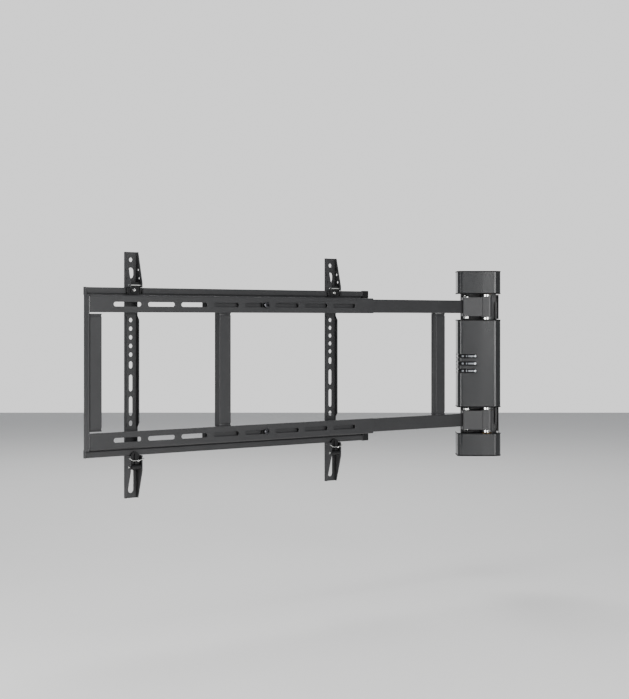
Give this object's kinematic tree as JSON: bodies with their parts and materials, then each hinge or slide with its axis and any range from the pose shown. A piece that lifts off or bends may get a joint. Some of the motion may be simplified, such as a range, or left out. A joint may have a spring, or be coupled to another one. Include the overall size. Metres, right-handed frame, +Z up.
{
  "type": "full motion tv wall mount",
  "caption": "Motorised swing-out wall mount: a slim motor column on the wall, hinged double arms, a sliding slotted frame and hook brackets that carry a flat television.",
  "frame": {"origin": "middle of the face of the wall channel that lies on the wall", "axes": "+Y into the wall, +Z up, +X to the right of someone facing the wall; the room is on -Y"},
  "size_m": [0.7998, 0.6458, 0.441],
  "materials": {
    "powder_coat": "fine textured dark grey powder coat",
    "satin_plastic": "satin dark grey moulded plastic",
    "black_plastic": "satin black nylon",
    "zinc": "bright zinc plated",
    "steel": "machined steel",
    "chrome": "polished",
    "bronze": "sintered bronze",
    "nylon": "natural nylon",
    "circuit_green": "solder mask"
  },
  "bodies": {
    "wall_unit": {"wall_channel": "powder_coat", "top_cap_cover": "satin_plastic", "centre_cover": "satin_plastic", "bottom_cap_cover": "satin_plastic", "vent_trim": "chrome", "power_socket": "black_plastic", "hinge_plate_top": "powder_coat", "hinge_plate_upper": "powder_coat", "hinge_plate_lower": "powder_coat", "hinge_plate_bottom": "powder_coat", "shaft_bush_top": "bronze", "shaft_bush_upper": "bronze", "shaft_bush_lower": "bronze", "shaft_bush_bottom": "bronze", "motor_shelf": "powder_coat", "motor_gearbox": "zinc", "motor_can": "steel", "control_board": "circuit_green"},
    "motor_output": {"motor_pinion": "steel"},
    "hinge_link": {"drive_shaft": "steel", "driven_gear": "steel", "upper_link": "powder_coat", "lower_link": "powder_coat", "upper_elbow_pin": "zinc", "lower_elbow_pin": "zinc", "upper_elbow_nut": "zinc", "lower_elbow_nut": "zinc", "spacer_above_upper_link": "zinc", "spacer_below_upper_link": "zinc", "spacer_above_lower_link": "zinc", "spacer_below_lower_link": "zinc"},
    "swing_arm": {"upper_arm_tube": "powder_coat", "lower_arm_tube": "powder_coat", "hinge_brace": "powder_coat", "mid_brace": "powder_coat", "upper_lock_bolt": "zinc", "lower_lock_bolt": "zinc", "upper_slide_pad": "nylon", "lower_slide_pad": "nylon"},
    "tv_frame": {"upper_channel": "powder_coat", "lower_channel": "powder_coat", "upper_rail_cap": "black_plastic", "lower_rail_cap": "black_plastic", "end_plate": "powder_coat", "end_brace": "powder_coat"},
    "left_bracket": {"left_bracket": "powder_coat", "left_hook": "black_plastic", "left_hook_pin": "zinc", "left_hook_screw": "zinc", "left_latch_pin": "zinc"},
    "left_latch": {"left_latch": "black_plastic", "left_latch_wire": "zinc"},
    "right_bracket": {"right_bracket": "powder_coat", "right_hook": "black_plastic", "right_hook_pin": "zinc", "right_hook_screw": "zinc", "right_latch_pin": "zinc"},
    "right_latch": {"right_latch": "black_plastic", "right_latch_wire": "zinc"}
  },
  "joints": [
    {"name": "wall_swing", "type": "hinge", "parent": "wall_unit", "child": "hinge_link", "pos_m": [0.017, -0.032, 0], "axis": [0, 0, 1], "range_deg": [0, 140]},
    {"name": "pinion_spin", "type": "hinge", "parent": "wall_unit", "child": "motor_output", "pos_m": [-0.00925, -0.032, 0], "axis": [0, 0, 1], "range_deg": [-355, 5]},
    {"name": "elbow_swing", "type": "hinge", "parent": "hinge_link", "child": "swing_arm", "pos_m": [-0.025, -0.028, 0], "axis": [0, 0, 1], "range_deg": [-30, 0]},
    {"name": "frame_extend", "type": "slide", "parent": "swing_arm", "child": "tv_frame", "axis": [0.766, 0.6428, 0], "range_m": [0, 0.0475]},
    {"name": "left_bracket_slide", "type": "slide", "parent": "tv_frame", "child": "left_bracket", "axis": [-0.766, -0.6428, 0], "range_m": [-0.11, 0.06]},
    {"name": "right_bracket_slide", "type": "slide", "parent": "tv_frame", "child": "right_bracket", "axis": [-0.766, -0.6428, 0], "range_m": [-0.045, 0.145]},
    {"name": "left_latch_swing", "type": "hinge", "parent": "left_bracket", "child": "left_latch", "pos_m": [-0.66866, -0.57084, -0.1703], "axis": [0.766, 0.6428, 0], "range_deg": [0, 60], "stiffness_Nm_per_rad": 0.02},
    {"name": "right_latch_swing", "type": "hinge", "parent": "right_bracket", "child": "right_latch", "pos_m": [-0.30831, -0.26847, -0.1703], "axis": [0.766, 0.6428, 0], "range_deg": [0, 60], "stiffness_Nm_per_rad": 0.02}
  ],
  "couplings": [
    {"joint": "pinion_spin", "follows": "wall_swing", "ratio": -2.5}
  ]
}
